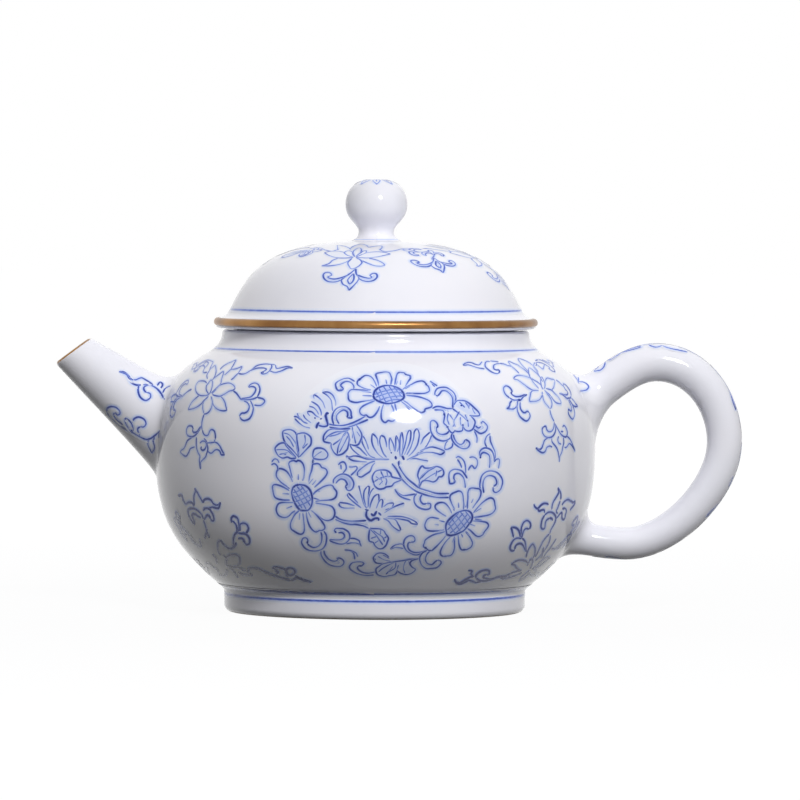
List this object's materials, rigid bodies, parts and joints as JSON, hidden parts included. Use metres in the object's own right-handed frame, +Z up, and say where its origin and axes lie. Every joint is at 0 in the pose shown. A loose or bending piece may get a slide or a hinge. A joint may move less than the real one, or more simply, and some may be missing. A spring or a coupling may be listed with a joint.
{
  "type": "teapot",
  "caption": "Small globular porcelain teapot with a short conical spout, ear handle, foot ring and lift-off domed lid with a bead knob, gilt at rim and lip.",
  "frame": {"origin": "on the resting surface, under the middle of the box round the whole teapot", "axes": "+X towards the handle and away from the spout, +Z up along the pot's axis"},
  "size_m": [0.1512, 0.0968, 0.095],
  "materials": {
    "porcelain": "clear glossy glaze over white porcelain with underglaze blue line painting",
    "gilding": "fired brown-gold line, softly shiny"
  },
  "bodies": {
    "pot": {"pot_body": "porcelain", "foot_ring": "porcelain", "spout": "porcelain", "spout_strainer": "porcelain", "spout_lip_gilding": "gilding", "handle": "porcelain"},
    "lid": {"lid": "porcelain", "lid_knob": "porcelain", "lid_rim_gilding": "gilding"}
  },
  "joints": [
    {"name": "lid_lift", "type": "slide", "parent": "pot", "child": "lid", "axis": [0, 0, 1], "range_m": [0, 0.06]}
  ]
}
